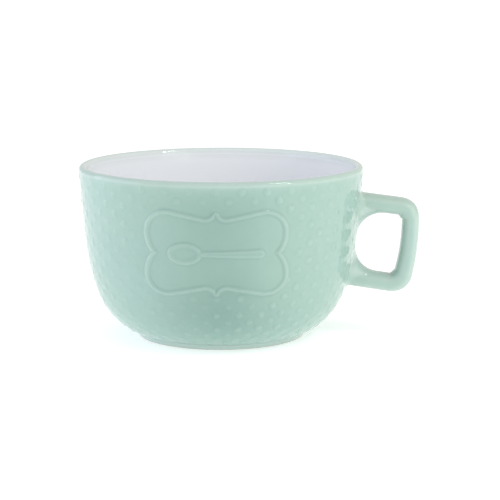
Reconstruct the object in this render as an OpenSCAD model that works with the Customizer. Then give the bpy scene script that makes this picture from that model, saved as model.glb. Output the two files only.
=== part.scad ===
// Large soup mug: a wide glazed bowl with a squared handle, raised dots and a framed label.
// Millimetres. The origin is on the table, on the bowl's axis. +Z is up, the label faces -Y
// and the handle points along +X.

/* [Bowl] */
// Diameter over the lip, the widest part of the bowl
rim_d = 140; // [130:1:150]
// Height from the table to the top of the lip
mug_h = 84.8; // [80:0.1:95]
// Thickness of the wall with its lining, from the lip to the heel
wall = 4; // [3.2:0.1:5]
// Lean of the straight upper wall from the vertical, in degrees
wall_lean = 5; // [2:0.5:8]
// Height at which the straight wall begins to curve in
belly_h = 50; // [45:1:55]
// Radius of the belly's curve, on the outside
belly_r = 110; // [95:1:130]
// Height at which the belly's curve gives way to the tighter curve of the heel
heel_h = 22; // [18:1:26]
// Height of the floor of the inside above the table
floor_h = 7; // [6:0.5:9]
// Radius of the curve between the inside of the wall and the floor
floor_r = 24; // [20:1:28]

/* [Foot] */
// How far the foot ring's outside, where it meets the heel, stands in from the lip's outside
foot_in = 28; // [25:0.5:31]
// Height of the foot ring on its outside
foot_h = 2.2; // [1.8:0.1:3]
// Width of the flat ring that the mug rests on
foot_w = 5; // [4:0.5:7]
// Depth of the hollow inside the foot ring
foot_hollow = 2; // [1.5:0.1:2.8]
// How far each side of the foot ring draws in towards the table
foot_draft = 0.8; // [0.4:0.1:1.2]

/* [Lining] */
// Thickness of the white lining
lining_t = 0.5; // [0.3:0.05:0.8]
// Distance from the top of the lip to the lining's upper edge
lining_drop = 3.2; // [2.6:0.1:6]

/* [Handle] */
// How far the handle stands out past the lip
handle_out = 27.9; // [25:0.5:34]
// Thickness of the handle, seen from the front
handle_t = 8.6; // [7:0.1:10]
// Width of the handle, across the direction it points in
handle_w = 16; // [13:0.5:20]
// Height at which the middle of the upper arm would meet the middle of the upright, as a share
// of the mug's height
upper_corner_share = 0.748; // [0.71:0.001:0.77]
// Fall of the upper arm away from the bowl, in degrees
upper_fall = 7.3; // [4:0.1:10]
// Height at which the middle of the lower arm would meet the middle of the upright
lower_corner_h = 24.4; // [23:0.1:28]
// Fall of the lower arm away from the bowl, in degrees
lower_fall = 8.5; // [5:0.1:11]
// Radius of the upright's slow inward curve
upright_r = 112; // [90:1:140]
// Radius of the handle's two corners, at the middle of its thickness
corner_r = 6.8; // [5.5:0.1:8]
// How much further the handle reaches, inside and out, at the middle of each corner
corner_full = 0.65; // [0:0.05:1]

/* [Handle joints] */
// Length of each joint, and the radius of its hollow on the finger side, as a share of the
// clear height between the arms
joint_share = 0.43; // [0.25:0.01:0.45]
// How far each joint spreads on the side away from the fingers
joint_out = 1.5; // [0.5:0.1:2.5]
// How far each joint spreads to either side
joint_side = 3; // [1:0.5:4]

/* [Dots] */
// Diameter of one dot where it meets the wall
dot_d = 3.6; // [3:0.1:4]
// Height of one dot
dot_h = 0.75; // [0.5:0.05:1]
// Dots in one row
dots_round = 36; // [30:1:38]
// Distance from one row to the next along the wall
row_step = 4.28; // [4.1:0.02:5]
// Distance along the wall from the lip's round to the first row
first_row = 2.8; // [2.4:0.1:5]
// Least distance along the wall from the last row to the foot ring
last_row = 4; // [3:0.5:8]

/* [Label] */
// Half the width of the frame at its lobes, to the middle of its bead
label_half_w = 32.5; // [30:0.1:34]
// Half the height of the frame at its crests, to the middle of its bead
label_half_h = 19.6; // [18.5:0.1:21]
// Height of the label's middle above the table
label_h = 50.9; // [48:0.1:52]
// Radius of the frame's four corners
label_corner_r = 9.5; // [8.5:0.1:10]
// How far the notch at each side comes in from the lobes
notch_in = 3.6; // [2.5:0.1:4.5]
// How far the hollows beside the middle point lie below the crests
hollow_drop = 3.4; // [2.5:0.1:4.5]
// Radius of the hollows beside the middle point
hollow_r = 5; // [4:0.1:6]
// Width of the raised bead
bead_w = 2.4; // [1.8:0.1:3]
// Height of the raised bead
bead_h = 0.8; // [0.5:0.05:1]

/* [Emblem] */
// Length of the raised spoon from end to end
spoon_l = 45; // [38:1:48]
// Length of the spoon's bowl
spoon_bowl_l = 16; // [13:0.5:18]
// Width of the spoon's bowl
spoon_bowl_w = 10.5; // [9:0.5:12]
// Width of the spoon's stem at its neck
spoon_neck_w = 1.8; // [1.4:0.1:2.4]
// Width of the spoon's stem near its end
spoon_end_w = 4; // [3:0.1:5]
// Width of the rim round the spoon's bowl
spoon_rim_w = 1.6; // [1.2:0.1:2]
// Height of the spoon above the wall
spoon_h = 0.7; // [0.5:0.05:1]
// Height of the hollow of the spoon's bowl above the wall
spoon_hollow_h = 0.25; // [0.15:0.05:0.4]

/* [Hidden] */
mint = [0.69, 0.84, 0.77];
pale_mint = [0.75, 0.88, 0.82];
white = [0.95, 0.94, 0.96];

// How far a cut runs past what it cuts
overrun = 5;
// How far each joint would reach into the wall before the wall is cut away from it
joint_bury = 6;
// How full the corners of the handle's section are: 2 is an ellipse, more is squarer
section_power = 2.5;
section_sides = 28;
corner_steps = 10;
upright_steps = 8;
// Where on its swell the handle's thickness is as the lower corner begins, in degrees
swell_start = 24;
joint_steps = 8;
arc_steps = 8;
// Turn of each hollow of the frame, from straight down to where it ends at the middle point
hollow_turn = 70;
// Radius of an oval's round ends, as a share of its width
oval_end_share = 0.38;
big_fn = 144;
small_fn = 32;

rim_r = rim_d / 2;
foot_r = rim_r - foot_in;
lip_r = wall / 2;
lip_c = [rim_r - lip_r, mug_h - lip_r];

// The outside of the wall, as radius and height: the lip's tangent point, the start of the
// belly's curve, the start of the heel's curve and the top of the foot ring
function outward(turn) = [cos(turn), -sin(turn)];
wall_top = lip_c + lip_r * outward(wall_lean);
belly_top = [wall_top[0] - (wall_top[1] - belly_h) * tan(wall_lean), belly_h];
belly_c = belly_top - belly_r * outward(wall_lean);
heel_turn = asin((belly_c[1] - heel_h) / belly_r);
heel_top = belly_c + belly_r * outward(heel_turn);
heel_end = [foot_r, foot_h];
heel_chord = heel_end - heel_top;
heel_r = -(heel_chord * heel_chord) / (2 * heel_chord * outward(heel_turn));
heel_c = heel_top - heel_r * outward(heel_turn);
end_turn = asin((heel_c[1] - foot_h) / heel_r);

// Lengths along the outside, from the lip's tangent point down
straight_l = norm(wall_top - belly_top);
belly_l = belly_r * (heel_turn - wall_lean) * PI / 180;
heel_l = heel_r * (end_turn - heel_turn) * PI / 180;
wall_l = straight_l + belly_l + heel_l;

// Turn of the wall away from the vertical, and the point on its outside, a length along it
function wall_turn(s) =
    s < straight_l ? wall_lean
    : s < straight_l + belly_l ? wall_lean + (s - straight_l) / belly_r * 180 / PI
    : heel_turn + (s - straight_l - belly_l) / heel_r * 180 / PI;
function wall_point(s) =
    s < straight_l ? wall_top + s / straight_l * (belly_top - wall_top)
    : s < straight_l + belly_l ? belly_c + belly_r * outward(wall_turn(s))
    : heel_c + heel_r * outward(wall_turn(s));

// Radius of the wall's outside at a height
function wall_r_at(z) =
    z > belly_h ? belly_top[0] + (z - belly_h) * tan(wall_lean)
    : z > heel_h ? belly_c[0] + sqrt(pow(belly_r, 2) - pow(belly_c[1] - z, 2))
    : heel_c[0] + sqrt(pow(heel_r, 2) - pow(heel_c[1] - z, 2));

// The part of a circle round c that lies between two heights and outside the axis
module slice(c, r, low, high) {
    intersection() {
        translate(c) circle(r, $fn = big_fn * 2);
        translate([0, low]) square([rim_d, high - low]);
    }
}

// Everything inside a surface that lies a depth inside the wall's outside, from where the lip's
// round begins down to the foot ring
module wall_profile(depth) {
    top = wall_top - depth * outward(wall_lean);
    lip_in = wall_top - wall * outward(wall_lean);
    knee = belly_top - depth * outward(wall_lean);
    hip = heel_top - depth * outward(heel_turn);
    polygon([[0, knee[1] - overrun], knee, top, lip_in, [0, lip_in[1]]]);
    slice(belly_c, belly_r - depth, hip[1], knee[1]);
    slice(heel_c, heel_r - depth, foot_h, hip[1]);
    polygon([[0, foot_h], [heel_c[0], foot_h], hip, [0, hip[1] + overrun]]);
}

// The hollow of the mug, a depth inside the wall's outside, with its rounded corner to the floor
module cavity_profile(depth) {
    low = floor_h - wall + depth;
    round_r = floor_r + wall - depth;
    turn = asin((belly_c[1] - low - round_r) / (belly_r - depth - round_r));
    round_c = belly_c + (belly_r - depth - round_r) * outward(turn);
    hip = round_c + round_r * outward(turn);
    top = wall_top - depth * outward(wall_lean);
    knee = belly_top - depth * outward(wall_lean);
    mouth = top + (mug_h - top[1]) * [tan(wall_lean), 1];
    polygon([[0, knee[1] - overrun], knee, mouth, [0, mouth[1]]]);
    slice(belly_c, belly_r - depth, hip[1], knee[1]);
    slice(round_c, round_r, low, hip[1]);
    polygon([[0, low], [round_c[0], low], hip, [0, hip[1] + overrun]]);
}

// The foot ring with the floor above it, and the shallow hollow inside the ring. Both of the
// ring's sides draw in a little towards the table
rest_out_r = foot_r - foot_draft;
rest_in_r = rest_out_r - foot_w;
module foot_profile() {
    polygon([[0, 0], [rest_out_r, 0], [foot_r, foot_h], [0, floor_h]]);
}
module foot_hollow_profile() {
    polygon([
        [0, -overrun], [rest_in_r, -overrun], [rest_in_r, 0],
        [rest_in_r - foot_draft, foot_hollow], [0, foot_hollow]
    ]);
}

module bowl_profile() {
    difference() {
        union() {
            wall_profile(0);
            foot_profile();
        }
        cavity_profile(wall);
        lining_bed_profile();
        foot_hollow_profile();
    }
    translate(lip_c) circle(lip_r, $fn = big_fn);
}

// The bed that the lining lies in, flush with the wall above its edge
module lining_bed_profile() {
    intersection() {
        cavity_profile(wall - lining_t);
        square([rim_d, mug_h - lining_drop]);
    }
}

module bowl() {
    color(mint) rotate_extrude($fn = big_fn) bowl_profile();
}

module liner_glaze() {
    color(white) rotate_extrude($fn = big_fn) difference() {
        lining_bed_profile();
        cavity_profile(wall);
    }
}

// The solid inside the wall's outside
module wall_solid() {
    rotate_extrude($fn = big_fn) wall_profile(0);
}

// A direction in the plane of x and z, turned from +X towards +Z
function toward(turn) = [cos(turn), sin(turn)];

// Where a line from p along d meets the wall's outside, as a distance, after a few steps
function to_wall(p, d, tries = 6, t = 0) =
    tries == 0 ? t : to_wall(p, d, tries - 1, (wall_r_at(p[1] + t * d[1]) - p[0]) / d[0]);

// The handle's middle line: two arms, two round corners and an upright that curves slowly in
upright_x = rim_r + handle_out - handle_t / 2;
upper_in = toward(180 - upper_fall);
lower_in = toward(180 - lower_fall);
upper_meet = [upright_x, upper_corner_share * mug_h];
lower_meet = [upright_x, lower_corner_h];
joint_l = joint_share * (upper_meet[1] - lower_meet[1] - handle_t);
upper_corner_c = upper_meet + corner_r * [-1, (sin(upper_fall) - 1) / cos(upper_fall)];
upright_c = [upright_x - upright_r, upper_corner_c[1]];
lower_offset = lower_meet + corner_r * toward(90 - lower_fall) - upright_c;
lower_reach = lower_offset * lower_in;
lower_slide = -lower_reach
    - sqrt(pow(lower_reach, 2) - lower_offset * lower_offset + pow(upright_r - corner_r, 2));
lower_corner_c = upright_c + lower_offset + lower_slide * lower_in;
upright_turn = atan2(lower_corner_c[1] - upright_c[1], lower_corner_c[0] - upright_c[0]);
upper_end = upper_meet + (to_wall(upper_meet, upper_in) - joint_l) * upper_in;
lower_end = lower_meet + (to_wall(lower_meet, lower_in) - joint_l) * lower_in;

// Places along the middle line, each with the turn of the handle's outer side and how far the
// handle reaches to either side of the line
upper_turn = 90 - upper_fall;
lower_turn = -90 - lower_fall;
function reach(swell) = handle_t / 2 + corner_full * swell;
handle_places = concat(
    [[upper_end, upper_turn, reach(0)]],
    [for (i = [0:corner_steps])
        let (turn = upper_turn * (1 - i / corner_steps))
        [
            upper_corner_c + corner_r * toward(turn),
            turn,
            reach(sin(180 * i / corner_steps))
        ]],
    [for (i = [1:upright_steps])
        let (turn = upright_turn * i / upright_steps)
        [
            upright_c + upright_r * toward(turn),
            turn,
            reach(sin(swell_start) * pow(i / upright_steps, 2))
        ]],
    [for (i = [1:corner_steps])
        let (turn = upright_turn + (lower_turn - upright_turn) * i / corner_steps)
        [
            lower_corner_c + corner_r * toward(turn),
            turn,
            reach(sin(swell_start + (180 - swell_start) * i / corner_steps))
        ]],
    [[lower_end, lower_turn, reach(0)]]
);

// One ring of points round the middle line, with its own reach out, in and to the sides
function rounded(v) = sign(v) * pow(abs(v), 2 / section_power);
function ring(place, reach_out, reach_in, side) = [
    for (i = [0:section_sides - 1])
        let (
            a = 360 * i / section_sides,
            across = rounded(cos(a)) * (cos(a) > 0 ? reach_out : reach_in),
            p = place[0] + across * toward(place[1])
        )
        [p[0], rounded(sin(a)) * side, p[1]]
];

// A solid skin over rings that all have section_sides points
module skin(rings) {
    n = section_sides;
    last = len(rings) - 1;
    polyhedron(
        points = [for (one = rings) each one],
        faces = concat(
            [[for (i = [0:n - 1]) i]],
            [for (k = [0:last - 1], i = [0:n - 1])
                [k * n + i, (k + 1) * n + i, (k + 1) * n + (i + 1) % n]],
            [for (k = [0:last - 1], i = [0:n - 1])
                [k * n + i, (k + 1) * n + (i + 1) % n, k * n + (i + 1) % n]],
            [[for (i = [n - 1:-1:0]) last * n + i]]
        )
    );
}

module handle() {
    color(mint) skin([
        for (place = handle_places) ring(place, place[2], place[2], handle_w / 2)
    ]);
}

// A joint from the end of an arm to the wall: it opens out like a quarter circle, most on the
// finger side, and the wall is cut out of it
module handle_joint(end, inward, turn) {
    color(pale_mint) difference() {
        skin(concat(
            [for (i = [0:joint_steps])
                let (bend = 90 * i / joint_steps, grow = 1 - cos(bend))
                ring(
                    [end + joint_l * sin(bend) * inward, turn],
                    handle_t / 2 + joint_out * grow,
                    handle_t / 2 + joint_l * grow,
                    handle_w / 2 + joint_side * grow
                )],
            [ring(
                [end + (joint_l + joint_bury) * inward, turn],
                handle_t / 2 + joint_out,
                handle_t / 2 + joint_l,
                handle_w / 2 + joint_side
            )]
        ));
        wall_solid();
    }
}

module upper_handle_joint() {
    handle_joint(upper_end, upper_in, upper_turn);
}

module lower_handle_joint() {
    handle_joint(lower_end, lower_in, lower_turn);
}

// The frame's shape, for its upper right quarter, measured from the label's middle
crest_c = [label_half_w - label_corner_r, label_half_h - label_corner_r];
lobe_r = (pow(crest_c[1], 2) + pow(notch_in, 2)) / (2 * notch_in);
lobe_c = [label_half_w - lobe_r, crest_c[1]];
hollow_c = [hollow_r, label_half_h - hollow_drop + hollow_r];
crest_to_hollow = hollow_c - crest_c;
slope = atan2(-crest_to_hollow[1], -crest_to_hollow[0])
    + asin((label_corner_r + hollow_r) / norm(crest_to_hollow));
crest_end = crest_c + label_corner_r * toward(90 + slope);
hollow_end = hollow_c - hollow_r * toward(90 + slope);
point_h = hollow_c[1] - hollow_c[0] / tan(hollow_turn);

// Height of the frame above its middle at a distance to the side, and half its width at a height
function frame_top(x) =
    x > crest_end[0] ? crest_c[1] + sqrt(max(0, pow(label_corner_r, 2) - pow(x - crest_c[0], 2)))
    : x > dot_d / 2 ? hollow_end[1] + (x - hollow_end[0]) * tan(slope)
    : point_h;
function frame_side(z) =
    z > crest_c[1] ? crest_c[0] + sqrt(max(0, pow(label_corner_r, 2) - pow(z - crest_c[1], 2)))
    : lobe_c[0] + sqrt(pow(lobe_r, 2) - pow(crest_c[1] - z, 2));

// A dot is left out where it would meet the label or a handle joint, but one over the frame's
// middle point merges with its tip
function on_label(angle, p) =
    let (
        x = p[0] * abs(sin(angle)),
        z = abs(p[1] - label_h),
        margin = (bead_w + dot_d) / 2
    )
    cos(angle) > 0 && x < frame_side(min(z, label_half_h)) + margin
        && z < frame_top(min(x, label_half_w)) + (x < dot_d / 2 ? 0 : margin);
function on_joint(angle, p, end, inward, side) =
    let (
        middle = end + joint_l * inward + side * (joint_out - joint_l) / 2 * [0, 1],
        half_h = (handle_t + joint_out + joint_l + dot_d) / 2,
        half_w = (handle_w + dot_d) / 2 + joint_side,
        y = p[0] * (angle - 90) * PI / 180
    )
    pow(abs(y) / half_w, section_power) + pow(abs(p[1] - middle[1]) / half_h, section_power) < 1;
function dot_is_bare(angle, p) =
    !on_label(angle, p)
    && !on_joint(angle, p, upper_end, upper_in, 1)
    && !on_joint(angle, p, lower_end, lower_in, -1);

// One dot: a low dome with a flat base
dot_ball_r = (pow(dot_d / 2, 2) + pow(dot_h, 2)) / (2 * dot_h);
dot_seat = pow(dot_d / 2, 2) / (2 * rim_r);
module dot() {
    rotate_extrude($fn = small_fn) intersection() {
        translate([0, dot_h - dot_ball_r]) circle(dot_ball_r, $fn = big_fn);
        square([dot_d, dot_d]);
    }
}

// Rows of dots, each row turned half a step from the one above
module hobnails() {
    rows = floor((wall_l - last_row - first_row) / row_step);
    color(pale_mint) for (row = [0:rows], i = [0:dots_round - 1]) {
        s = first_row + row * row_step;
        p = wall_point(s);
        angle = (i + (row % 2) / 2) * 360 / dots_round;
        if (dot_is_bare(angle, p))
            rotate([0, 0, angle])
            translate([0, -p[0], p[1]])
            rotate([90 + wall_turn(s), 0, 0])
            translate([0, 0, -dot_seat])
            dot();
    }
}

// Points along an arc
function arc(c, r, from, to) = [
    for (i = [0:arc_steps]) c + r * toward(from + (to - from) * i / arc_steps)
];

// The frame's upper right quarter, grown outwards by a width: half of a side lobe, a corner, a
// hollow and, on the outside, the round tip of the middle point
function frame_quarter(grow) =
    let (
        hollow_edge_r = hollow_r - grow,
        hollow_to = grow > 0 ? hollow_turn : asin(hollow_c[0] / hollow_edge_r)
    )
    concat(
        arc(lobe_c, lobe_r + grow, -asin(lobe_c[1] / (lobe_r + grow)), 0),
        arc(crest_c, label_corner_r + grow, 0, 90 + slope),
        arc(hollow_c, hollow_edge_r, slope - 90, -90 - hollow_to),
        grow > 0
            ? arc([0, point_h], hollow_c[0] / sin(hollow_turn) - hollow_edge_r, 90 - hollow_turn, 90)
            : []
    );
function backwards(list) = [for (i = [len(list) - 1:-1:0]) list[i]];
module frame_edge(grow) {
    upper = concat(
        frame_quarter(grow),
        [for (p = backwards(frame_quarter(grow))) [-p[0], p[1]]]
    );
    polygon(concat(upper, [for (p = backwards(upper)) [p[0], -p[1]]]));
}
module frame_outline() {
    difference() {
        frame_edge(bead_w / 2);
        frame_edge(-bead_w / 2);
    }
}

// Raises a flat outline, drawn about the label's middle, between two heights off the wall's front
module raised(low, high) {
    intersection() {
        translate([0, 0, label_h]) rotate([90, 0, 0]) linear_extrude(rim_r + overrun) children();
        rotate_extrude($fn = big_fn) difference() {
            wall_profile(-high);
            wall_profile(-low);
            square([rim_d, floor_h]);
        }
    }
}

module label_frame() {
    color(pale_mint) raised(0, bead_h) frame_outline();
}

// An oval of four arcs: two round ends and two long, flatter sides
module oval(l, w) {
    end_r = w * oval_end_share;
    end_x = l / 2 - end_r;
    side_r = (pow(end_x, 2) + pow(w / 2, 2) - pow(end_r, 2)) / (w - 2 * end_r);
    side_turn = atan2(end_x, side_r - w / 2);
    half = concat(
        arc([end_x, 0], end_r, side_turn - 90, 90 - side_turn),
        arc([0, w / 2 - side_r], side_r, 90 - side_turn, 90 + side_turn)
    );
    polygon(concat(half, -half));
}

// The spoon, from the tip of its bowl to the end of its stem, and the hollow of its bowl
spoon_bowl_x = (spoon_bowl_l - spoon_l) / 2;
spoon_end_x = (spoon_l - spoon_end_w) / 2;
module spoon_outline() {
    translate([spoon_bowl_x, 0]) oval(spoon_bowl_l, spoon_bowl_w);
    polygon([
        [spoon_bowl_x, -spoon_neck_w / 2], [spoon_end_x, -spoon_end_w / 2],
        [spoon_end_x, spoon_end_w / 2], [spoon_bowl_x, spoon_neck_w / 2]
    ]);
    translate([spoon_end_x, 0]) circle(spoon_end_w / 2, $fn = small_fn);
}
module spoon_hollow() {
    translate([spoon_bowl_x, 0])
        oval(spoon_bowl_l - 2 * spoon_rim_w, spoon_bowl_w - 2 * spoon_rim_w);
}

module label_emblem() {
    color(pale_mint) difference() {
        raised(0, spoon_h) spoon_outline();
        raised(spoon_hollow_h, spoon_h + overrun) spoon_hollow();
    }
}

bowl();
liner_glaze();
handle();
upper_handle_joint();
lower_handle_joint();
hobnails();
label_frame();
label_emblem();
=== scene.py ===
import math

import bpy
import numpy as np
from mathutils import Matrix, Vector


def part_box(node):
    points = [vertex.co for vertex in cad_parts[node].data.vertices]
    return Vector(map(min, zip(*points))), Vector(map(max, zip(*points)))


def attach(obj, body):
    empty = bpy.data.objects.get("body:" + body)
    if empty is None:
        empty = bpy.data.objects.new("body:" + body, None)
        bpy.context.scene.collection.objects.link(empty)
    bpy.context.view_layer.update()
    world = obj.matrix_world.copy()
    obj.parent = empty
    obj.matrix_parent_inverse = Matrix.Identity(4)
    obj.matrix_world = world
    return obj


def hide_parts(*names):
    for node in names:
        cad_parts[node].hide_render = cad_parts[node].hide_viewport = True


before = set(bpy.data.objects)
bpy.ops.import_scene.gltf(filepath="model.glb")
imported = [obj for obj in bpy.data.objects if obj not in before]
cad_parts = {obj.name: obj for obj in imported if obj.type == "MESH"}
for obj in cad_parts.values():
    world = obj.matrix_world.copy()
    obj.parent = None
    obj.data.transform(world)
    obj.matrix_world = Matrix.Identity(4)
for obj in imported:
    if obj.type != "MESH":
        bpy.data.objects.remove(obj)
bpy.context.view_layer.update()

METRES = 0.001

# Bowl
bowl_high = np.array(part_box("bowl")[1]) / METRES
rim_r = bowl_high[0]
mug_h = bowl_high[2]
wall = 4.0
wall_lean = 5.0
belly_h = 50.0
belly_r = 110.0
heel_h = 22.0
floor_h = 7.0
floor_r = 24.0
foot_in = 28.0
foot_h = 2.2
foot_w = 5.0
foot_hollow = 2.0
foot_draft = 0.8
foot_edge_r = 0.7
lining_t = 0.5
lining_drop = 3.2

# Handle
handle_out = 27.9
handle_t = 8.6
handle_w = 16.0
upper_corner_share = 0.748
upper_fall = 7.3
lower_corner_h = 24.4
lower_fall = 8.5
upright_r = 112.0
corner_r = 6.8
corner_full = 0.65
swell_start = 24.0
joint_share = 0.43
joint_out = 2.0
joint_side = 3.5
section_power = 2.5

# Dots
dot_d = 3.6
dot_h = 0.75
dots_round = 36
row_step = 4.28
first_row = 2.8
last_row = 4.0

# Label
label_half_w = 32.5
label_half_h = 19.6
label_h = 50.9
label_corner_r = 9.5
notch_in = 3.6
hollow_drop = 3.4
hollow_r = 5.0
hollow_turn = 70.0
bead_w = 2.4
bead_h = 0.8

# Spoon in the label
spoon_l = 45.0
spoon_bowl_l = 16.0
spoon_bowl_w = 10.5
spoon_neck_w = 1.8
spoon_end_w = 4.0
spoon_rim_w = 1.6
spoon_h = 0.7
spoon_hollow_h = 0.25
oval_end_share = 0.38

# Softness of the relief under its glaze: how far each form spreads past its bare width, how
# round its top is, and how much of a dot's height the glaze leaves: a share that differs from
# dot to dot, times one that changes with the turn round the mug from the front
dot_spread = 0.55
dot_power = 1.6
dot_kept = (0.45, 0.85)
kept_turns = (-125, -80, -25, 20, 60, 85, 125)
kept_shares = (1.15, 0.5, 0.5, 1.0, 0.55, 0.6, 1.15)
bead_spread = 0.3
bead_power = 1.6
spoon_shoulder = 1.1

# The glaze: how pale it is over the foot ring, how pale where it runs thin over the lip, how far
# down the wall that fades, and how white it is at the end of the lip's turn inwards
foot_pale = 0.45
lip_pale = 0.32
lip_fade = 0.8
lip_white = 0.55
# Painted shade down the front, a darker glaze colour that stands in for shade, over a width: the
# length under the lip that it starts in, how dark it is all the way down, how much darker low on
# the belly, at what height and how far from there, and the height over the table that it ends in
front_shade_w = 27.0
front_shade_start = 4.0
front_shade_all = 0.66
front_shade_low = 0.33
front_shade_low_h = 22.0
front_shade_low_reach = 16.0
front_shade_end_h = 8.0
# How pale painted light makes the whole handle, and how much paler still the thin glaze is on the
# edges of its section
handle_painted_light = 0.15
edge_thin = 0.2

# Fineness of the bowl, finer over the label and a margin round it: turns in degrees, lengths
# along the wall, samples of the wall's length, and rows over the lip
label_turn = 32.0
fine_turn = 0.32
coarse_turn = 0.5
fine_l = 0.38
coarse_l = 0.5
label_margin = 2 * bead_w
length_samples = 400
lip_rows = 21
# Fineness of the hollow, down its wall, belly, rounding and floor, and of the lining's turns
mouth_share = 0.08
belly_turn = 1.0
round_turn = 3.0
floor_step = 3.0
lining_every = 3
# Where an extra row of points keeps the lining's edge crisp, as a share of the way to the next
edge_hold = 0.02
# Fineness of the handle: points round its section, and rings along an arm, a flare and a bend
section_sides = 56
arm_share = 0.12
flare_rings = 16
bend_rings = 22
# How far the joints' last ring goes into the wall, so that no edge shows: its flare's share of
# the flare on the wall, and its depth
sunk_flare = 1.02
sunk_depth = wall / 8
# Steps that bring a line to the wall
wall_steps = 12

rng = np.random.default_rng(11)


def cos(turn):
    """Cosine of a turn in degrees."""
    return np.cos(np.radians(turn))


def sin(turn):
    """Sine of a turn in degrees."""
    return np.sin(np.radians(turn))


def outward(turn):
    """Direction out of the wall, as radius and height, where it has turned from the vertical."""
    return np.stack([cos(turn), -sin(turn)], -1)


def toward(turn):
    """Direction in the plane of x and z, at a turn up from +X."""
    return np.stack([cos(turn), sin(turn)], -1)


# The wall's outside, as radius and height: lip, straight wall, belly and heel
foot_r = rim_r - foot_in
lip_r = wall / 2
lip_c = np.array([rim_r - lip_r, mug_h - lip_r])
wall_top = lip_c + lip_r * outward(wall_lean)
belly_top = np.array([
    wall_top[0] - (wall_top[1] - belly_h) * math.tan(math.radians(wall_lean)), belly_h
])
belly_c = belly_top - belly_r * outward(wall_lean)
heel_turn = math.degrees(math.asin((belly_c[1] - heel_h) / belly_r))
heel_top = belly_c + belly_r * outward(heel_turn)
# The heel's arc goes on from the belly without a corner and ends at the foot's top edge
heel_chord = np.array([foot_r, foot_h]) - heel_top
heel_r = -(heel_chord @ heel_chord) / (2 * heel_chord @ outward(heel_turn))
heel_c = heel_top - heel_r * outward(heel_turn)
end_turn = math.degrees(math.asin((heel_c[1] - foot_h) / heel_r))
straight_l = np.linalg.norm(wall_top - belly_top)
belly_l = belly_r * math.radians(heel_turn - wall_lean)
heel_l = heel_r * math.radians(end_turn - heel_turn)
wall_l = straight_l + belly_l + heel_l


def wall_turn(s):
    """Turn of the wall away from the vertical, in degrees, at lengths along it from the lip."""
    on_belly = wall_lean + np.degrees((s - straight_l) / belly_r)
    on_heel = heel_turn + np.degrees((s - straight_l - belly_l) / heel_r)
    return np.where(
        s < straight_l, wall_lean, np.where(s < straight_l + belly_l, on_belly, on_heel)
    )


def wall_point(s):
    """Radius and height of the wall's outside at lengths along it from the lip."""
    s = np.asarray(s, float)
    way = outward(wall_turn(s))
    on_straight = wall_top + (s / straight_l)[..., None] * (belly_top - wall_top)
    on_belly = belly_c + belly_r * way
    on_heel = heel_c + heel_r * way
    return np.where(
        (s < straight_l)[..., None],
        on_straight,
        np.where((s < straight_l + belly_l)[..., None], on_belly, on_heel),
    )


def wall_r_at(z):
    """Radius of the wall's outside at a height."""
    straight = belly_top[0] + (z - belly_h) * math.tan(math.radians(wall_lean))
    belly = belly_c[0] + np.sqrt(np.maximum(0, belly_r**2 - (belly_c[1] - z) ** 2))
    heel = heel_c[0] + np.sqrt(np.maximum(0, heel_r**2 - (heel_c[1] - z) ** 2))
    return np.where(z > belly_h, straight, np.where(z > heel_h, belly, heel))


# The handle's middle line in the plane of x and z
upright_x = rim_r + handle_out - handle_t / 2
upper_in = toward(180 - upper_fall)
lower_in = toward(180 - lower_fall)
upper_meet = np.array([upright_x, upper_corner_share * mug_h])
lower_meet = np.array([upright_x, lower_corner_h])
upper_corner_c = upper_meet + corner_r * np.array([-1, (sin(upper_fall) - 1) / cos(upper_fall)])
upright_c = np.array([upright_x - upright_r, upper_corner_c[1]])
# The lower corner's middle slides along its arm until its arc meets the upright's
lower_offset = lower_meet + corner_r * toward(90 - lower_fall) - upright_c
lower_reach = lower_offset @ lower_in
lower_slide = -lower_reach - math.sqrt(
    lower_reach**2 - lower_offset @ lower_offset + (upright_r - corner_r) ** 2
)
lower_corner_c = upright_c + lower_offset + lower_slide * lower_in
upright_turn = math.degrees(math.atan2(*(lower_corner_c - upright_c)[::-1]))
upper_turn = 90 - upper_fall
lower_turn = -90 - lower_fall
joint_l = joint_share * (upper_meet[1] - lower_meet[1] - handle_t)


def to_wall(points, direction):
    """Distance from each point along a direction in the plane of x and z to the wall's outside."""
    t = np.zeros(len(points))
    for _ in range(wall_steps):
        z = points[:, 2] + t * direction[1]
        x = np.sqrt(np.maximum(0, wall_r_at(z) ** 2 - points[:, 1] ** 2))
        t = (x - points[:, 0]) / direction[0]
    return t


# The label frame's outline, for its upper right quarter, measured from the label's middle
crest_c = np.array([label_half_w - label_corner_r, label_half_h - label_corner_r])
lobe_r = (crest_c[1] ** 2 + notch_in**2) / (2 * notch_in)
lobe_c = np.array([label_half_w - lobe_r, crest_c[1]])
hollow_c = np.array([hollow_r, label_half_h - hollow_drop + hollow_r])
crest_to_hollow = hollow_c - crest_c
slope = math.degrees(
    math.atan2(-crest_to_hollow[1], -crest_to_hollow[0])
    + math.asin((label_corner_r + hollow_r) / np.linalg.norm(crest_to_hollow))
)
crest_end = crest_c + label_corner_r * toward(90 + slope)
hollow_end = hollow_c - hollow_r * toward(90 + slope)
point_h = hollow_c[1] - hollow_c[0] / math.tan(math.radians(hollow_turn))


def frame_top(x):
    """Height of the frame above its middle, at a distance to the side."""
    if x > crest_end[0]:
        return crest_c[1] + math.sqrt(max(0, label_corner_r**2 - (x - crest_c[0]) ** 2))
    if x > dot_d / 2:
        return hollow_end[1] + (x - hollow_end[0]) * math.tan(math.radians(slope))
    return point_h


def frame_side(z):
    """Half the frame's width, at a height above its middle."""
    if z > crest_c[1]:
        return crest_c[0] + math.sqrt(max(0, label_corner_r**2 - (z - crest_c[1]) ** 2))
    return lobe_c[0] + math.sqrt(lobe_r**2 - (crest_c[1] - z) ** 2)


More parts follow.
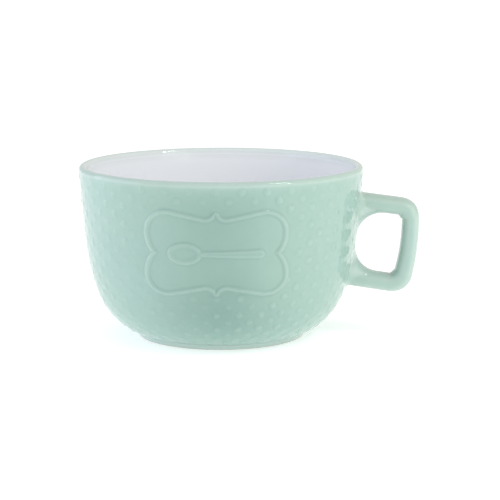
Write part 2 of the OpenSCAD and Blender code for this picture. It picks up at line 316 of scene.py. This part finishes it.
def on_label(turn, p):
    """Whether a dot would meet the label. One over the frame's middle point merges with its tip."""
    x = p[0] * abs(sin(turn))
    z = abs(p[1] - label_h)
    margin = (bead_w + dot_d) / 2
    return (
        cos(turn) > 0
        and x < frame_side(min(z, label_half_h)) + margin
        and z < frame_top(min(x, label_half_w)) + (0 if x < dot_d / 2 else margin)
    )


def on_joint(turn, p, meet, inward, side):
    """Whether a dot would meet one of the handle's joints."""
    start = np.array([[meet[0], 0, meet[1]]])
    middle_h = (meet + to_wall(start, inward)[0] * inward)[1] + side * (joint_out - joint_l) / 2
    half_h = (handle_t + joint_out + joint_l + dot_d) / 2
    half_w = (handle_w + dot_d) / 2 + joint_side
    y = abs(p[0] * math.radians(turn - 90))
    z = abs(p[1] - middle_h)
    return (y / half_w) ** section_power + (z / half_h) ** section_power < 1


def dot_stands(turn, p):
    """Whether a dot has room, clear of the label and the handle's joints."""
    return not (
        on_label(turn, p)
        or on_joint(turn, p, upper_meet, upper_in, 1)
        or on_joint(turn, p, lower_meet, lower_in, -1)
    )


dot_rows = int((wall_l - last_row - first_row) // row_step) + 1
dot_turn = 360 / dots_round
dot_lengths = first_row + row_step * np.arange(dot_rows)
# Each dot's share of its full height, and none where the label or a joint is in its place
dot_share = np.array([
    [
        float(dot_stands((i + row % 2 / 2) * dot_turn, wall_point(dot_lengths[row])))
        for i in range(dots_round)
    ]
    for row in range(dot_rows)
])
dot_share *= rng.uniform(*dot_kept, dot_share.shape)
dot_share *= np.interp(np.arange(dots_round) * dot_turn, kept_turns, kept_shares, period=360)


def dot_height(turn, s, r):
    """Height of the rows of dots, at turns round the axis and lengths along the wall."""
    height = np.zeros(np.broadcast(turn, s).shape)
    reach = dot_d / 2 + dot_spread
    above = np.floor((s - first_row) / row_step).astype(int)
    for row in (above, above + 1):
        known = np.clip(row, 0, dot_rows - 1)
        place = turn / dot_turn - known % 2 / 2
        nearest = np.round(place).astype(int)
        across = np.radians((place - nearest) * dot_turn) * r
        along = s - first_row - known * row_step
        dome = np.clip(1 - (across**2 + along**2) / reach**2, 0, 1) ** dot_power
        height = np.maximum(height, dot_h * dome * dot_share[known, nearest % dots_round])
    return height


def line_gap(x, z, start, end):
    """Distance to a straight line between two points."""
    way = end - start
    share = np.clip(((x - start[0]) * way[0] + (z - start[1]) * way[1]) / (way @ way), 0, 1)
    return np.hypot(x - start[0] - share * way[0], z - start[1] - share * way[1])


def arc_gap(x, z, c, r, low, high):
    """Distance to the part of a circle between two turns, or a large number off its ends."""
    turn = np.degrees(np.arctan2(z - c[1], x - c[0]))
    gap = np.abs(np.hypot(x - c[0], z - c[1]) - r)
    return np.where((turn >= low) & (turn <= high), gap, rim_r)


def bead_height(x, z):
    """Height of the label's frame, by distances from the label's middle."""
    x, z = np.abs(x), np.abs(z)
    gap = np.minimum.reduce([
        arc_gap(x, z, lobe_c, lobe_r, -90, 0),
        arc_gap(x, z, crest_c, label_corner_r, 0, 90 + slope),
        line_gap(x, z, crest_end, hollow_end),
        arc_gap(x, z, hollow_c, hollow_r, -90 - hollow_turn, slope - 90),
        np.hypot(x, z - point_h),
    ])
    reach = bead_w / 2 + bead_spread
    return bead_h * np.clip(1 - (gap / reach) ** 2, 0, 1) ** bead_power


def oval_depth(x, z, length, width):
    """Distance inwards from the outline of an oval of four arcs."""
    x, z = np.abs(x), np.abs(z)
    end_r = width * oval_end_share
    end_x = length / 2 - end_r
    side_r = (end_x**2 + (width / 2) ** 2 - end_r**2) / (width - 2 * end_r)
    side_z = width / 2 - side_r
    by_side = np.arctan2(z - side_z, x) > math.atan2(-side_z, end_x)
    return np.where(by_side, side_r - np.hypot(x, z - side_z), end_r - np.hypot(x - end_x, z))


def shoulder(depth, width):
    """A rounded rise from 0 to 1 over a width inside an outline."""
    return 1 - (1 - np.clip(depth / width, 0, 1)) ** 2


def spoon_height(x, z):
    """Height of the raised spoon, by distances from the label's middle."""
    bowl_x = (spoon_bowl_l - spoon_l) / 2
    end_x = (spoon_l - spoon_end_w) / 2
    along = np.clip((x - bowl_x) / (end_x - bowl_x), 0, 1)
    half_w = (spoon_neck_w + along * (spoon_end_w - spoon_neck_w)) / 2
    stem = half_w - np.hypot(x - np.clip(x, bowl_x, end_x), z)
    bowl = oval_depth(x - bowl_x, z, spoon_bowl_l, spoon_bowl_w)
    rim = 2 * spoon_rim_w
    dish = oval_depth(x - bowl_x, z, spoon_bowl_l - rim, spoon_bowl_w - rim)
    body = spoon_h * shoulder(np.maximum(stem, bowl) + spoon_shoulder / 4, spoon_shoulder)
    return body - (spoon_h - spoon_hollow_h) * shoulder(dish, 2 * spoon_shoulder)


def relief_height(turn, s):
    """Height of all the moulded relief above the wall, for a grid of turns and lengths."""
    turn, s = turn[None, :], s[:, None]
    r, z = np.moveaxis(wall_point(s), -1, 0)
    height = dot_height(turn, s, r)
    x = r * sin(turn)
    in_front = (cos(turn) > 0) & (np.abs(x) < label_half_w + label_margin)
    label = np.maximum(bead_height(x, z - label_h), spoon_height(x, z - label_h))
    return np.maximum(height, np.where(in_front, label, 0))


def convexity(height, turn, s):
    """How sharply the relief bulges: about 1 on a full dot's top, and negative round its foot."""
    r = wall_point(s)[:, :1]
    around = np.radians(turn)
    across = np.gradient(np.gradient(height, around, axis=1), around, axis=1) / r**2
    along = np.gradient(np.gradient(height, s, axis=0), s, axis=0)
    top_of_dot = 4 * dot_h * dot_power / (dot_d / 2 + dot_spread) ** 2
    return np.clip(-(across + along) / top_of_dot, -1, 1)


def rounded_path(corners, radii, steps=5):
    """A line through corners, each but the first and last rounded with a radius."""
    corners = [np.array(c, float) for c in corners]
    path = [corners[0]]
    for before, corner, after, r in zip(corners, corners[1:], corners[2:], radii):
        back = (before - corner) / np.linalg.norm(before - corner)
        ahead = (after - corner) / np.linalg.norm(after - corner)
        half = math.acos(np.clip(back @ ahead, -1, 1)) / 2
        middle = back + ahead
        centre = corner + middle / np.linalg.norm(middle) * r / math.sin(half)
        start = corner + back * r / math.tan(half) - centre
        end = corner + ahead * r / math.tan(half) - centre
        for i in range(steps + 1):
            way = start + (end - start) * i / steps
            path.append(centre + way * r / np.linalg.norm(way))
    return np.array(path + [corners[-1]])


def spread(a, b, step):
    """Values from a up to but without b, about a step apart."""
    return np.linspace(a, b, max(1, round(abs(b - a) / step)), endpoint=False)


def inside_path(depth, top_h):
    """The hollow's outline, a depth inside the wall's outside, from a height down to the axis."""
    low = floor_h - wall + depth
    round_r = floor_r + wall - depth
    belly_in = belly_r - depth
    turn = math.degrees(math.asin((belly_c[1] - low - round_r) / (belly_in - round_r)))
    round_c = belly_c + (belly_in - round_r) * outward(turn)
    top = wall_top - depth * outward(wall_lean)
    knee = belly_top - depth * outward(wall_lean)
    mouth = top + (top_h - top[1]) * np.array([math.tan(math.radians(wall_lean)), 1])
    return np.concatenate([
        mouth + spread(0, 1, mouth_share)[:, None] * (knee - mouth),
        belly_c + belly_in * outward(spread(wall_lean, turn, belly_turn)),
        round_c + round_r * outward(spread(turn, 90, round_turn)),
        [[x, low] for x in spread(round_c[0], 0, floor_step)],
    ])


def make_piece(name, points, faces, materials):
    """A smooth mesh piece on the mug's body, from points in millimetres."""
    mesh = bpy.data.meshes.new(name)
    mesh.from_pydata((points * METRES).tolist(), [], faces)
    mesh.shade_smooth()
    piece = bpy.data.objects.new(name, mesh)
    bpy.context.scene.collection.objects.link(piece)
    for material in materials:
        mesh.materials.append(material)
    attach(piece, "root")
    return piece


def note(piece, name, values):
    """Keep a number for each point of a piece, for its material to read."""
    attribute = piece.data.attributes.new(name, "FLOAT", "POINT")
    attribute.data.foreach_set("value", values)


def grid_faces(rows, columns):
    """Faces between rows of points that each close on themselves."""
    i, j = np.meshgrid(np.arange(rows - 1), np.arange(columns), indexing="ij")
    after = (j + 1) % columns
    faces = np.stack(
        [i * columns + j, (i + 1) * columns + j, (i + 1) * columns + after, i * columns + after], -1
    )
    return faces.reshape(-1, 4).tolist()


def turned_points(path, turn):
    """Points of a path of radius and height, turned about the axis from the label's side."""
    r, z = path[:, :1], path[:, 1:]
    return np.stack([r * sin(turn), -r * cos(turn), z + 0 * turn], -1)


def turned_piece(name, rows, first_pole, last_pole, materials):
    """A closed piece from rows of points round the axis, with a point on the axis at each end."""
    count, columns = rows.shape[:2]
    points = np.concatenate([rows.reshape(-1, 3), [[0, 0, first_pole], [0, 0, last_pole]]])
    start, last = count * columns, (count - 1) * columns
    faces = grid_faces(count, columns)
    faces += [[start, j, (j + 1) % columns] for j in range(columns)]
    faces += [[start + 1, last + (j + 1) % columns, last + j] for j in range(columns)]
    return make_piece(name, points, faces, materials)


# Materials. A noise's scale is about the number of its marks along a metre
class Nodes:
    """A material's node tree, with short ways to add and join nodes."""

    def __init__(self, name):
        self.material = bpy.data.materials.new(name)
        self.material.use_nodes = True
        self.tree = self.material.node_tree
        self.shader = self.tree.nodes["Principled BSDF"]
        self.place = self.add("ShaderNodeTexCoord").outputs["Object"]

    def add(self, kind, **values):
        node = self.tree.nodes.new(kind)
        for key, value in values.items():
            setattr(node, key, value)
        return node

    def join(self, start, end):
        self.tree.links.new(start, end)

    def noise(self, scale, detail=2.0, roughness=0.5, distortion=0.0):
        """A noise fixed to the piece, between 0 and 1."""
        node = self.add("ShaderNodeTexNoise")
        self.join(self.place, node.inputs["Vector"])
        node.inputs["Scale"].default_value = scale
        node.inputs["Detail"].default_value = detail
        node.inputs["Roughness"].default_value = roughness
        node.inputs["Distortion"].default_value = distortion
        return node.outputs["Fac"]

    def ranged(self, value, low, high, to_low=0.0, to_high=1.0):
        """A value moved from one range to another, and kept inside it."""
        node = self.add("ShaderNodeMapRange")
        self.join(value, node.inputs["Value"])
        for key, number in zip(
            ("From Min", "From Max", "To Min", "To Max"), (low, high, to_low, to_high)
        ):
            node.inputs[key].default_value = number
        return node.outputs["Result"]

    def mixed(self, factor, a, b):
        """Colour a where the factor is 0 and b where it is 1; each a colour or a socket."""
        node = self.add("ShaderNodeMix", data_type="RGBA")
        sockets = [s for s in node.inputs if s.type == "RGBA"]
        self.join(factor, node.inputs[0])
        for socket, colour in zip(sockets, (a, b)):
            if isinstance(colour, tuple):
                socket.default_value = (*colour, 1)
            else:
                self.join(colour, socket)
        return next(s for s in node.outputs if s.type == "RGBA")

    def toned(self, colour, value, low, high, most, tint):
        """A colour that goes up to a share of the way to a tint as a value goes low to high."""
        return self.mixed(self.ranged(value, low, high, 0, most), colour, tint)

    def rough(self, value, least, most):
        """Roughness between two limits, by a noise."""
        self.join(self.ranged(value, 0.3, 0.7, least, most), self.shader.inputs["Roughness"])

    def bumped(self, height, distance, normal=None):
        """The surface's direction, tilted by a height over a distance, on top of another tilt."""
        node = self.add("ShaderNodeBump")
        node.inputs["Distance"].default_value = distance
        self.join(height, node.inputs["Height"])
        if normal is not None:
            self.join(normal, node.inputs["Normal"])
        return node.outputs["Normal"]

    def named(self, attribute):
        """What a piece's points carry under a name."""
        return self.add("ShaderNodeAttribute", attribute_name=attribute).outputs["Fac"]

    def height(self):
        """Height over the table, in metres."""
        node = self.add("ShaderNodeSeparateXYZ")
        self.join(self.place, node.inputs["Vector"])
        return node.outputs["Z"]


MINT = (0.366, 0.518, 0.456)
MINT_COOL = (0.352, 0.508, 0.466)
MINT_THIN = (0.555, 0.690, 0.635)
# A darker mint, for glaze pooled round the relief and for the painted shade down the front
MINT_POOL_AND_SHADE = (0.240, 0.375, 0.335)
MINT_PALE = (0.665, 0.730, 0.710)
MINT_SPECK = (0.215, 0.335, 0.265)
MINT_SHINE = (0.66, 0.82, 0.75)
WHITE = (0.875, 0.893, 0.930)
WHITE_WARM = (0.875, 0.880, 0.920)
CLAY = (0.540, 0.470, 0.390)
CLAY_DARK = (0.430, 0.360, 0.290)
glaze_ior = 1.52
# Heights of the glaze's pits and the clay's grain, in metres
pit_h = 0.000012
clay_grain_h = 0.00008
# Mint in the lining, by the height over its edge, to which a noise adds up to a wander: where it
# starts and where it is full
mint_wander = 2.2
mint_start = -1.6
mint_full = 1.1


def glaze_surface(g, wave_scale, wave_h, pit_scale):
    """The glaze's shine, and its skin: long faint waves with fine pits over them."""
    waves = g.bumped(g.noise(wave_scale), wave_h)
    g.join(g.bumped(g.noise(pit_scale), pit_h, waves), g.shader.inputs["Normal"])
    g.shader.inputs["IOR"].default_value = glaze_ior


def mint_glaze():
    """A glossy mint glaze: paler where it runs thin over edges, deeper where it pools round the
    relief, with painted shade down the front.
    """
    g = Nodes("mint_glaze")
    clouds = g.noise(scale=13, detail=3, distortion=0.6)
    mottling = g.ranged(g.noise(scale=160, detail=4, roughness=0.6), 0.3, 0.7)
    colour = g.mixed(g.ranged(clouds, 0.35, 0.65), MINT, MINT_COOL)
    colour = g.toned(colour, mottling, 0, 1, most=0.10, tint=MINT_THIN)
    # Painted shade down the front, broken up by patches
    painted_front_shade = g.add("ShaderNodeMath", operation="MULTIPLY")
    g.join(g.named("painted_front_shade"), painted_front_shade.inputs[0])
    patches = g.noise(scale=24, detail=3, distortion=0.5)
    g.join(g.ranged(patches, 0.3, 0.7, 0.82, 1.0), painted_front_shade.inputs[1])
    colour = g.mixed(painted_front_shade.outputs[0], colour, MINT_POOL_AND_SHADE)
    bulge = g.named("bulge")
    colour = g.toned(colour, bulge, 0.05, 0.8, most=0.16, tint=MINT_THIN)
    colour = g.toned(colour, bulge, -0.02, -0.4, most=0.16, tint=MINT_POOL_AND_SHADE)
    # Paler on the foot ring, where the glaze runs thin over the lip and edges, and by painted light
    # all over the handle
    colour = g.mixed(g.named("pale"), colour, MINT_PALE)
    colour = g.mixed(g.named("white"), colour, WHITE)
    specks = g.noise(scale=1500, detail=1, roughness=0.4)
    colour = g.toned(colour, specks, 0.76, 0.80, most=0.45, tint=MINT_SPECK)
    g.join(colour, g.shader.inputs["Base Color"])
    g.rough(g.noise(scale=220, detail=3), 0.05, 0.10)
    glaze_surface(g, wave_scale=95, wave_h=0.00012, pit_scale=900)
    # A tinted shine keeps the bowl's edges mint against the pale surround
    g.shader.inputs["Specular Tint"].default_value = (*MINT_SHINE, 1)
    return g.material


def white_glaze(edge_h):
    """A glossy white glaze that takes on some mint just under the lip, where the two meet."""
    g = Nodes("white_glaze")
    clouds = g.noise(scale=16, detail=3, distortion=0.5)
    colour = g.mixed(g.ranged(clouds, 0.35, 0.65), WHITE, WHITE_WARM)
    wandering = g.add("ShaderNodeMath", operation="MULTIPLY_ADD")
    g.join(g.noise(scale=60, detail=3), wandering.inputs[0])
    wandering.inputs[1].default_value = mint_wander * METRES
    g.join(g.height(), wandering.inputs[2])
    start, full = (edge_h + mint_start) * METRES, (edge_h + mint_full) * METRES
    colour = g.toned(colour, wandering.outputs[0], start, full, most=0.25, tint=MINT_PALE)
    specks = g.noise(scale=1100, detail=1, roughness=0.4)
    colour = g.toned(colour, specks, 0.77, 0.82, most=0.25, tint=CLAY)
    g.join(colour, g.shader.inputs["Base Color"])
    g.rough(g.noise(scale=240, detail=3), 0.06, 0.12)
    glaze_surface(g, wave_scale=60, wave_h=0.0002, pit_scale=800)
    return g.material


def bare_clay():
    """The fired clay of the foot ring's resting face, which carries no glaze."""
    g = Nodes("bare_clay")
    grain = g.noise(scale=420, detail=4, roughness=0.65)
    colour = g.mixed(g.ranged(grain, 0.3, 0.7), CLAY, CLAY_DARK)
    g.join(colour, g.shader.inputs["Base Color"])
    g.rough(g.noise(scale=300), 0.75, 0.95)
    g.join(g.bumped(g.noise(scale=1400, detail=3), clay_grain_h), g.shader.inputs["Normal"])
    return g.material


# The bowl: one turned skin with its relief, from the middle of the underside out over the foot
# ring, up the wall, over the lip and down the bed of the lining
turns = np.concatenate([
    spread(-label_turn, label_turn, fine_turn), spread(label_turn, 360 - label_turn, coarse_turn)
])
label_reach = label_half_h + label_margin
sampled = np.linspace(0, wall_l, length_samples)
label_s = np.interp(
    [-(label_h + label_reach), -(label_h - label_reach)], -wall_point(sampled)[:, 1], sampled
)
lengths = np.concatenate([
    spread(0, label_s[0], coarse_l),
    spread(label_s[0], label_s[1], fine_l),
    spread(label_s[1], wall_l - foot_edge_r, coarse_l),
])
relief = relief_height(turns, lengths)
bulge = convexity(relief, turns, lengths)
wall_path = wall_point(lengths)
wall_way = outward(wall_turn(lengths))
lifted = wall_path[:, None, :] + relief[..., None] * wall_way[:, None, :]
wall_rows = np.stack(
    [lifted[..., 0] * sin(turns), -lifted[..., 0] * cos(turns), lifted[..., 1]], -1
)[::-1]

rest_out_r = foot_r - foot_draft
rest_in_r = rest_out_r - foot_w
foot_path = rounded_path(
    [
        [rest_in_r / 2, foot_hollow],
        [rest_in_r - foot_draft, foot_hollow],
        [rest_in_r, 0],
        [rest_out_r, 0],
        [foot_r, foot_h],
        wall_point(wall_l - foot_edge_r),
    ],
    [foot_edge_r] * 3 + [foot_edge_r / 2],
)[:-1]
lip_turns = np.linspace(wall_lean, wall_lean - 180, lip_rows + 1)[1:]
lip_path = lip_c + lip_r * outward(lip_turns)
lining_edge_h = mug_h - lining_drop
bed_path = inside_path(wall - lining_t, lining_edge_h)
lining_path = inside_path(wall, lining_edge_h)
above_edge = lining_path[0] + edge_hold * (lip_path[-1] - lining_path[0])
rows = np.concatenate([
    turned_points(foot_path, turns),
    wall_rows,
    turned_points(lip_path, turns),
    turned_points(np.concatenate([[above_edge], lining_path[:1], bed_path]), turns),
])
mint = mint_glaze()
clay = bare_clay()
bowl = turned_piece(
    "glazed_bowl", rows, foot_hollow, floor_h - lining_t, [mint, clay]
)
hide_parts("bowl", "hobnails", "label_frame", "label_emblem")

# What the glaze reads at each of the bowl's points: bulge, pale, white and the painted shade down
# the front
first_wall = len(foot_path)
first_lip = first_wall + len(lengths)
first_inside = first_lip + len(lip_path)
bulge_rows = np.zeros(rows.shape[:2])
bulge_rows[first_wall:first_lip] = bulge[::-1]
pale_rows = np.zeros(rows.shape[:2])
pale_rows[:first_wall] = foot_pale
pale_rows[first_wall:first_lip] = lip_pale * np.exp(-lengths[::-1] / lip_fade)[:, None]
over_lip = sin((wall_lean - lip_turns) / 2) ** 4
pale_rows[first_lip:first_inside] = (lip_pale + (1 - lip_pale) * over_lip)[:, None]
pale_rows[first_inside:] = 1
white_rows = np.zeros(rows.shape[:2])
white_rows[first_lip:first_inside] = lip_white * over_lip[:, None]
white_rows[first_inside:] = 1
# Painted shade down the front of the wall: darkest low on the belly, fading in under the lip and
# out near the table
low_down = np.exp(-(((wall_path[:, 1:] - front_shade_low_h) / front_shade_low_reach) ** 2))
started = 1 - np.exp(-lengths[:, None] / front_shade_start)
started *= 1 - np.exp(-((wall_path[:, 1:] / front_shade_end_h) ** 2))
middle = np.exp(-((wall_path[:, :1] * sin(turns) / front_shade_w) ** 2)) * (cos(turns) > 0)
painted_front_shade_rows = np.zeros(rows.shape[:2])
depth = middle * started * (front_shade_all + front_shade_low * low_down)
painted_front_shade_rows[first_wall:first_lip] = depth[::-1]
for name, values in (
    ("bulge", bulge_rows), ("pale", pale_rows), ("white", white_rows), ("painted_front_shade", painted_front_shade_rows)
):
    note(bowl, name, np.append(values.ravel(), [0, 0]))
# The foot ring's resting face is bare
for face in bowl.data.polygons:
    if face.center.z < foot_edge_r * METRES / 4:
        face.material_index = 1

# The lining: the bowl's white inside, with its own thickness
lining_turns = turns[::lining_every]
below_edge = lining_path[0] + edge_hold * (lining_path[1] - lining_path[0])
lining_rows = np.concatenate([
    turned_points(bed_path[::-1], lining_turns),
    turned_points(np.insert(lining_path, 1, below_edge, axis=0), lining_turns),
])
lining = turned_piece(
    "white_lining", lining_rows, floor_h - lining_t, floor_h,
    [white_glaze(lining_edge_h)],
)
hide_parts("liner_glaze")

# The handle: one skin from joint to joint
section_turns = np.arange(section_sides) * 360 / section_sides


def rounded(v):
    """A cosine or sine changed so that the section's circle becomes a rounded rectangle."""
    return np.sign(v) * np.abs(v) ** (2 / section_power)


def steepness(v, width):
    """The part along one axis of the section's outward direction, not yet of unit length."""
    return np.sign(v) * np.abs(2 * v / width) ** (section_power - 1) / width


section = np.stack([
    rounded(cos(section_turns)) * handle_t / 2, rounded(sin(section_turns)) * handle_w / 2
], -1)
section_way = np.stack([
    steepness(section[:, 0], handle_t), steepness(section[:, 1], handle_w)
], -1)
section_way /= np.linalg.norm(section_way, axis=1)[:, None]


def swollen(swell):
    """The handle's section, reaching further in and out by a share of its fullest swell."""
    return section * [1 + 2 * corner_full * swell / handle_t, 1]


def placed(p, turn, across):
    """Points of a ring round p, from distances outwards and to the side."""
    flat = p + across[:, :1] * toward(turn)
    return np.stack([flat[:, 0], across[:, 1], flat[:, 1]], -1)


def joint_rings(corner, inward, turn):
    """Rings from a corner's end along the arm, spreading to meet the wall all round."""
    # The flare is joint_side at the sides, joint_out on the outer side and joint_l on the inner
    lean = section_way[:, 0]
    flare = joint_side * (1 - lean**2) + np.where(lean > 0, joint_out, joint_l) * lean**2
    along = np.array([inward[0], 0, inward[1]])
    start = placed(corner, turn, section)
    arm_l = to_wall(start, inward) - flare
    rings = [start + share * arm_l[:, None] * along for share in spread(0, 1, arm_share)]
    for bend in np.linspace(0, 90, flare_rings):
        grow = flare * (1 - cos(bend))
        wide = placed(corner, turn, section + grow[:, None] * section_way)
        reach = to_wall(wide, inward) - flare * (1 - sin(bend))
        rings.append(wide + reach[:, None] * along)
    sunk = placed(corner, turn, section + flare[:, None] * section_way * sunk_flare)
    reach = to_wall(sunk, inward) + sunk_depth
    rings.append(sunk + reach[:, None] * along)
    return rings


upper_corner_end = upper_corner_c + corner_r * toward(upper_turn)
lower_corner_end = lower_corner_c + corner_r * toward(lower_turn)


def lower_swell(share):
    """Swell round the lower corner, which starts in the upright and ends with the corner."""
    return sin(swell_start + (180 - swell_start) * share) * (1 - share**3)


# Upper corner, upright and lower corner: middle, radius, turns, and swell on the way
bends = [
    (upper_corner_c, corner_r, upper_turn, 0, lambda share: sin(180 * share) ** 2),
    (upright_c, upright_r, 0, upright_turn, lambda share: sin(swell_start) * share**2),
    (lower_corner_c, corner_r, upright_turn, lower_turn, lower_swell),
]
handle_rings = joint_rings(upper_corner_end, upper_in, upper_turn)[:0:-1]
for centre, radius, from_turn, to_turn, swell in bends:
    for share in spread(0, 1, 1 / bend_rings):
        turn = from_turn + (to_turn - from_turn) * share
        handle_rings.append(placed(centre + radius * toward(turn), turn, swollen(swell(share))))
handle_rings += joint_rings(lower_corner_end, lower_in, lower_turn)
handle_rows = np.array(handle_rings)
last_row_start = (len(handle_rows) - 1) * section_sides
handle_faces = grid_faces(len(handle_rows), section_sides)
handle_faces.append(list(range(section_sides)))
handle_faces.append([last_row_start + j for j in range(section_sides)][::-1])
handle = make_piece(
    "glazed_handle", handle_rows.reshape(-1, 3), handle_faces, [mint]
)
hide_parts("handle", "upper_handle_joint", "lower_handle_joint")
# The handle's pale: painted light all over it, and more on the edges of its section where the glaze
# runs thin
painted_light_and_thin_edges = handle_painted_light + edge_thin * (2 * np.prod(section_way, axis=1)) ** 2
note(handle, "pale", np.tile(painted_light_and_thin_edges, len(handle_rows)))


# The studio: a pale floor, a soft surround, a soft box at each side and three that stand for
# the panes of a window at the front right. Its sizes are in metres
FLOOR = (0.86, 0.86, 0.86)
FLOOR_SHADE = (0.84, 0.845, 0.85)
DAYLIGHT = (1.0, 1.0, 0.98)
SKYLIGHT = (0.83, 0.84, 1.0)
GREEN_LIGHT = (0.94, 1.0, 0.80)
WARM_ROOM = (1.0, 0.99, 0.94)
COOL_ROOM = (0.90, 0.97, 1.0)
floor_reach = 14.0
floor_glow = 0.44


def studio_floor():
    """A matt pale floor that glows a little, so that it stays white round the mug."""
    g = Nodes("studio_floor")
    tint = g.mixed(g.ranged(g.noise(scale=3), 0.3, 0.7), FLOOR, FLOOR_SHADE)
    g.join(tint, g.shader.inputs["Base Color"])
    g.shader.inputs["Roughness"].default_value = 0.9
    g.shader.inputs["Specular IOR Level"].default_value = 0.0
    g.shader.inputs["Emission Color"].default_value = (1, 1, 1, 1)
    g.shader.inputs["Emission Strength"].default_value = floor_glow
    return g.material


mesh = bpy.data.meshes.new("studio_floor")
mesh.from_pydata(
    [(floor_reach * x, floor_reach * y, 0) for x, y in ((-1, -1), (1, -1), (1, 1), (-1, 1))],
    [], [(0, 1, 2, 3)],
)
mesh.materials.append(studio_floor())
floor = bpy.data.objects.new("studio_floor", mesh)
bpy.context.scene.collection.objects.link(floor)


def direction(azimuth, elevation):
    """A direction from the mug: azimuth 0 is the label's side and 90 the handle's."""
    return Vector((
        sin(azimuth) * cos(elevation), -cos(azimuth) * cos(elevation), sin(elevation)
    ))


mug_middle = Vector((0, 0, mug_h / 2 * METRES))


def soft_box(name, azimuth, elevation, distance, size, radiance, colour):
    """A rectangular light that faces the mug, with the brightness that its face shows."""
    light = bpy.data.lights.new(name, "AREA")
    light.shape = "RECTANGLE"
    light.size, light.size_y = size
    light.energy = radiance * math.pi * size[0] * size[1]
    light.color = colour
    lamp = bpy.data.objects.new(name, light)
    way = direction(azimuth, elevation)
    lamp.location = mug_middle + way * distance
    lamp.rotation_euler = way.to_track_quat("Z", "Y").to_euler()
    lamp.visible_camera = False
    bpy.context.scene.collection.objects.link(lamp)


# Azimuth, elevation, distance, size, brightness and colour of each
soft_box("window_light", 44, 7.5, 1.1, (0.50, 0.36), 1.2, DAYLIGHT)
soft_box("window_core", 57, 18, 1.2, (0.08, 0.08), 45.0, DAYLIGHT)
soft_box("high_window", 59, 46, 1.2, (0.26, 0.11), 25.0, DAYLIGHT)
soft_box("left_light", -88, 16, 0.5, (0.5, 0.35), 1.55, SKYLIGHT)
soft_box("right_light", 80, 18, 0.28, (0.2, 0.2), 0.3, GREEN_LIGHT)

# Brightness of the surround, in parts that add up: an axis, two places on it between -1 and 1,
# and the brightness at each
surround_parts = (
    ("Y", -1.0, -0.2, 0.88, 0.55),
    ("Y", 0.2, 1.0, 0.0, 0.25),
    ("Z", 0.2, 1.0, 0.0, 0.15),
)
# Where it is still warm and where it is fully cool, on the X axis
warm_x = 0.3
cool_x = -0.9


def surround():
    """A pale surround: brighter in front, behind and overhead, and cooler on the left."""
    world = bpy.data.worlds.new("surround")
    world.use_nodes = True
    nodes, links = world.node_tree.nodes, world.node_tree.links
    place = nodes.new("ShaderNodeTexCoord")
    parts = nodes.new("ShaderNodeSeparateXYZ")
    links.new(place.outputs["Generated"], parts.inputs["Vector"])
    cool = nodes.new("ShaderNodeMapRange")
    cool.inputs["From Min"].default_value = warm_x
    cool.inputs["From Max"].default_value = cool_x
    links.new(parts.outputs["X"], cool.inputs["Value"])
    mix = nodes.new("ShaderNodeMix")
    mix.data_type = "RGBA"
    colours = [s for s in mix.inputs if s.type == "RGBA"]
    colours[0].default_value = (*WARM_ROOM, 1)
    colours[1].default_value = (*COOL_ROOM, 1)
    links.new(cool.outputs["Result"], mix.inputs[0])
    levels = []
    for axis, low, high, from_level, to_level in surround_parts:
        level = nodes.new("ShaderNodeMapRange")
        level.inputs["From Min"].default_value = low
        level.inputs["From Max"].default_value = high
        level.inputs["To Min"].default_value = from_level
        level.inputs["To Max"].default_value = to_level
        links.new(parts.outputs[axis], level.inputs["Value"])
        levels.append(level.outputs["Result"])
    total = levels[0]
    for level in levels[1:]:
        more = nodes.new("ShaderNodeMath")
        links.new(total, more.inputs[0])
        links.new(level, more.inputs[1])
        total = more.outputs[0]
    back = nodes["Background"]
    links.new(next(s for s in mix.outputs if s.type == "RGBA"), back.inputs["Color"])
    links.new(total, back.inputs["Strength"])
    bpy.context.scene.world = world


surround()

# The camera, at the photograph's angle
lens = 137.65
sensor = 36.0
camera_aim = Vector((14.27, 0, 41.62))
camera_distance = 950.0
camera_fall = 9.744
camera_turn = 1.3
camera_data = bpy.data.cameras.new("camera")
camera_data.lens = lens
camera_data.sensor_width = sensor
camera_data.clip_start = 0.05
camera_data.clip_end = 100
camera = bpy.data.objects.new("camera", camera_data)
turned = Matrix.Rotation(math.radians(camera_turn), 4, "Z")
aim = turned @ (camera_aim * METRES)
eye = turned @ ((camera_aim + camera_distance * direction(0, camera_fall)) * METRES)
camera.location = eye
camera.rotation_euler = (eye - aim).to_track_quat("Z", "Y").to_euler()
bpy.context.scene.collection.objects.link(camera)
bpy.context.scene.camera = camera
bpy.context.scene.view_settings.view_transform = "Standard"
